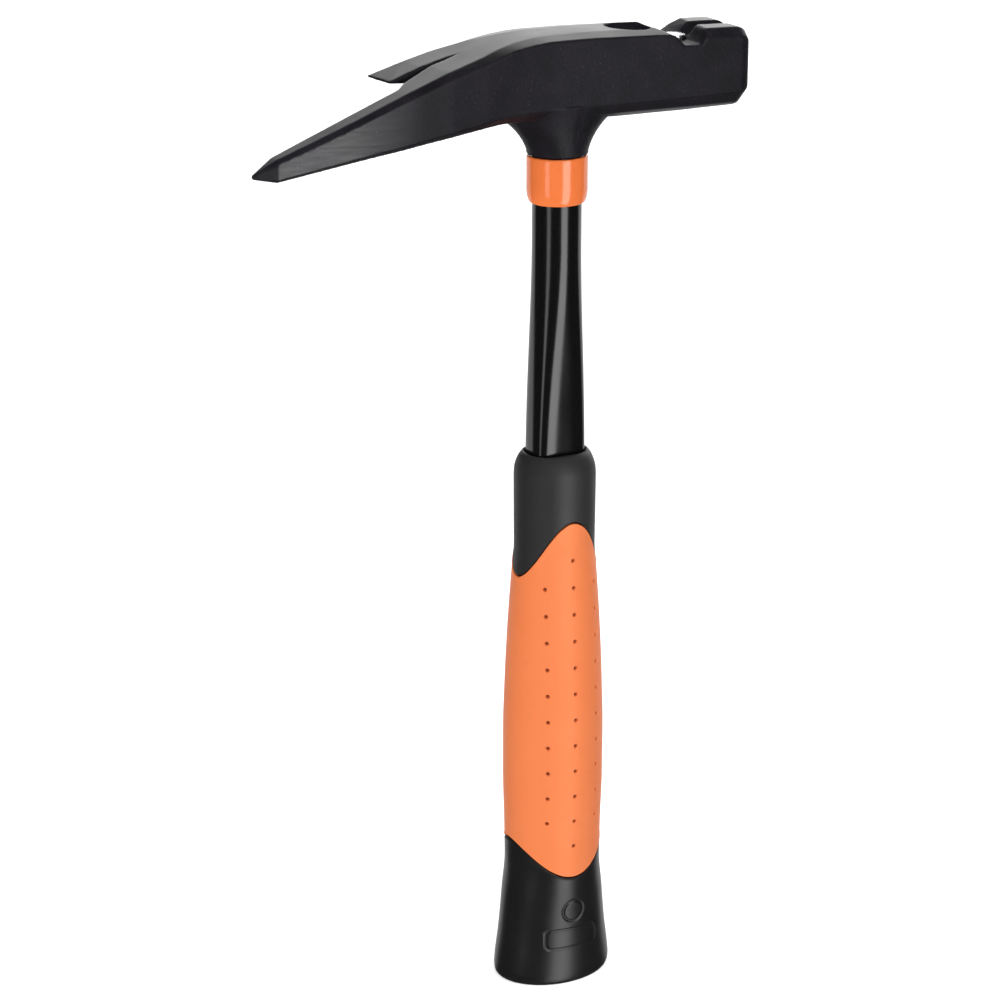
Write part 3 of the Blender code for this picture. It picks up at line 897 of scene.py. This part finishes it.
forged = Finish("forged_black_paint", specular_ior_level=0.15, coat_roughness=0.28)
facing = forged.node("ShaderNodeNewGeometry", output="Normal")
upward = forged.part(facing, "Z")
on_top = forged.ramp(upward, 0.80, 0.93)
reach = forged.part(forged.spot, "X")
on_spike = forged.ramp(reach, -0.050, -0.085)
edge = forged.node("ShaderNodeAttribute", {"attribute_name": "edge"}, {}, "Fac")
scale_skin = forged.noise(1.1 * MM, 3.0, roughness=0.6)
broad = forged.noise(9 * MM, 3.0)
chips = forged.ramp(forged.noise(0.55 * MM, 1.0), 0.69, 0.80)
specks = chips * forged.ramp(broad, 0.44, 0.58)
bevel_height = forged.part(forged.spot, "Z") + reach * BEVEL_SLOPE
below_line = forged.ramp(bevel_height, BEVEL_LINE, BEVEL_LINE - BEVEL_FADE)
lower_bevel_reflection = below_line * forged.ramp(reach, 0.008, 0.020)
pimples = forged.ramp(forged.noise(0.55 * MM, 2.0), 0.58, 0.75)
streaks = forged.noise(0.9 * MM, 3.0, (0.06, 1.0, 1.0))
# Painted highlight: the top's outstanding edges are lightened towards grey.
top_edge_highlight = forged.ramp(edge + broad * 0.16, 0.70, 0.86)
side = 1 - on_top
# The sides: black, with blotches of painted sheen.
side_with_painted_sheen = forged.mix(broad, FORGED_BLACK, PAINTED_SHEEN_BLACK)
# Bare grey for the paint's chips, and a painted reflection along the lower bevel.
specks_and_bevel_reflection = forged.mix(specks * 0.5 + lower_bevel_reflection * 0.9, side_with_painted_sheen, BARE_AND_REFLECTED_GREY)
painted = forged.mix(on_top, specks_and_bevel_reflection, TOP_BLACK)
forged.vary(
    base_color=forged.mix(top_edge_highlight * on_top * 0.35, painted, BARE_AND_REFLECTED_GREY),
    roughness=broad * 0.10 + side * 0.08 + streaks * on_spike * 0.12 + 0.32,
    coat_weight=side * on_spike * (streaks * 0.9 + 0.25),
)
forged.relief(
    side * (scale_skin * 0.11 + pimples * 0.045) * (1 - on_spike * 0.55)
    + on_top * scale_skin * 0.010
    + side * on_spike * streaks * 0.030
)

head = forge_head()
mark_edges(head)
head.data.shade_smooth()
wear(head, forged)
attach(head, "root")
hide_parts("hammer_head")

# --- Spreading plug -----------------------------------------------------------------------
# A turned steel plug driven into the tube's top end, which holds the tube in the socket.
# It is hidden inside the head.

plug_steel = Finish("plug_steel", metallic=1.0)
rings_left = plug_steel.noise(0.25 * MM, 2.0, (0.1, 0.1, 1.0))
plug_steel.vary(
    base_color=plug_steel.mix(rings_left, (0.34, 0.34, 0.35), (0.46, 0.46, 0.47)),
    roughness=rings_left * 0.2 + 0.3,
)
plug_steel.relief(rings_left * 0.01)
wear(NODES["spreading_plug"], plug_steel)

# --- Magnets ------------------------------------------------------------------------------
# Two small bright magnets pressed into the head: one in the floor of the cross notch, which
# holds a nail's head, and one in the pocket behind it. Their ends are ground.

bright = Finish("ground_magnet", metallic=1.0)
grinding = bright.noise(0.20 * MM, 3.0, (1.0, 0.08, 1.0))
stain = bright.ramp(bright.noise(1.6 * MM, 4.0), 0.50, 0.72)
bright.vary(
    base_color=bright.mix(stain * 0.5, (0.60, 0.60, 0.61), (0.36, 0.36, 0.37)),
    roughness=grinding * 0.14 + stain * 0.12 + 0.18,
)
bright.relief(grinding * 0.004)


def magnet_disc(name):
    low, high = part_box(name)
    high.z += PROUD[name]
    radius = high.y
    x = MAGNETS[name]
    angles = turn(64)
    outline = [(low.z, radius - 0.25 * MM), (low.z + 0.25 * MM, radius)]
    for part in np.linspace(0.2, 0.8, 4):
        outline.append((low.z + (high.z - low.z) * part, radius))
    for tilt in np.linspace(0, math.pi / 2, 6):
        z = high.z - MAGNET_EDGE * (1 - math.sin(tilt))
        outline.append((z, radius - MAGNET_EDGE * (1 - math.cos(tilt))))
    for share in (0.75, 0.5, 0.25, 0.1):
        outline.append((high.z, share * radius))
    rings = [ellipse(size, size, z, angles) + (x, 0, 0) for z, size in outline]
    return skin(name + "_disc", rings)


for magnet_name in MAGNETS:
    disc = magnet_disc(magnet_name)
    wear(disc, bright)
    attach(disc, "root")
    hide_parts(magnet_name)

# --- Studio -------------------------------------------------------------------------------
# The hammer stands on its butt on a pale sweep. A tall box in front and a low one on the left
# give the reflections, two large ones above and on the left only fill, and two wide ones
# behind the hammer light its edges.

FLOOR_HALF = 8.0


def floor_sheet():
    mesh = bpy.data.meshes.new("floor")
    turns = ((-1, -1), (1, -1), (1, 1), (-1, 1))
    corners = [(x * FLOOR_HALF, y * FLOOR_HALF, 0) for x, y in turns]
    mesh.from_pydata(corners, [], [(0, 1, 2, 3)])
    made = bpy.data.objects.new("floor", mesh)
    bpy.context.scene.collection.objects.link(made)
    return made


WHITE = (1.0, 1.0, 1.0, 1.0)
paper = Finish(
    "pale_sweep", specular_ior_level=0.0, emission_color=WHITE, emission_strength=0.55
)
fibres = paper.noise(30 * MM, 2.0)
paper.vary(
    base_color=paper.mix(fibres, (0.86, 0.86, 0.86), (0.88, 0.88, 0.88)),
    roughness=fibres * 0.1 + 0.8,
)
floor = floor_sheet()
wear(floor, paper)
floor.visible_glossy = False

AIM = Vector((0.0, 0.0, 0.18))


def soft_box(name, azimuth, distance, height, width, tall, radiance, shine=True, fill=True):
    """A rectangular light facing the hammer; azimuth 0 is in front of its broad side.

    It can be left out of the reflections, or give nothing else.
    """
    turned = math.radians(azimuth)
    spot = Vector((distance * math.sin(turned), -distance * math.cos(turned), height))
    lamp = bpy.data.lights.new(name, "AREA")
    lamp.shape = "RECTANGLE"
    lamp.size = width
    lamp.size_y = tall
    lamp.energy = radiance * 4 * width * tall
    made = bpy.data.objects.new(name, lamp)
    bpy.context.scene.collection.objects.link(made)
    made.location = spot
    made.rotation_euler = (AIM - spot).to_track_quat("-Z", "Y").to_euler()
    made.visible_glossy = shine
    made.visible_diffuse = fill


soft_box("right_box", 8, 1.3, 0.0, 0.66, 2.6, 3.4, fill=False)
soft_box("left_box", -65, 1.3, -0.05, 0.36, 0.40, 1.7, fill=False)
soft_box("left_fill", -42, 1.5, 0.6, 1.6, 1.6, 1.5, shine=False)
soft_box("top_box", 20, 0.4, 1.7, 1.6, 1.6, 2.2, shine=False)
soft_box("back_wall", 142, 2.6, 1.05, 3.4, 1.8, 2.1)
soft_box("back_sweep", 152, 2.6, -0.75, 9.0, 1.7, 0.7, fill=False)


def studio_air():
    """Dim surroundings, lighter straight below, where the sweep is."""
    world = bpy.data.worlds.new("studio_air")
    bpy.context.scene.world = world
    world.use_nodes = True
    tree = world.node_tree
    sky = tree.nodes["Background"]
    ways = tree.nodes.new("ShaderNodeTexCoord")
    parts = tree.nodes.new("ShaderNodeSeparateXYZ")
    down = tree.nodes.new("ShaderNodeMapRange")
    down.interpolation_type = "SMOOTHSTEP"
    for socket, value in zip(down.inputs[1:5], (-0.50, -0.90, 0.05, 0.12)):
        socket.default_value = value
    tree.links.new(ways.outputs["Generated"], parts.inputs[0])
    tree.links.new(parts.outputs[2], down.inputs[0])
    tree.links.new(down.outputs[0], sky.inputs["Strength"])
    sky.inputs["Color"].default_value = WHITE


studio_air()

camera = bpy.data.objects.new("camera", bpy.data.cameras.new("camera"))
camera.data.lens = 106.60
camera.data.clip_start = 0.05
camera.data.clip_end = 60.0
camera.location = (-0.43477, -0.79907, 0.48655)
camera.rotation_euler = (math.radians(70.732), math.radians(-0.077), math.radians(-27.406))
bpy.context.scene.collection.objects.link(camera)
bpy.context.scene.camera = camera
bpy.context.scene.view_settings.view_transform = "Standard"
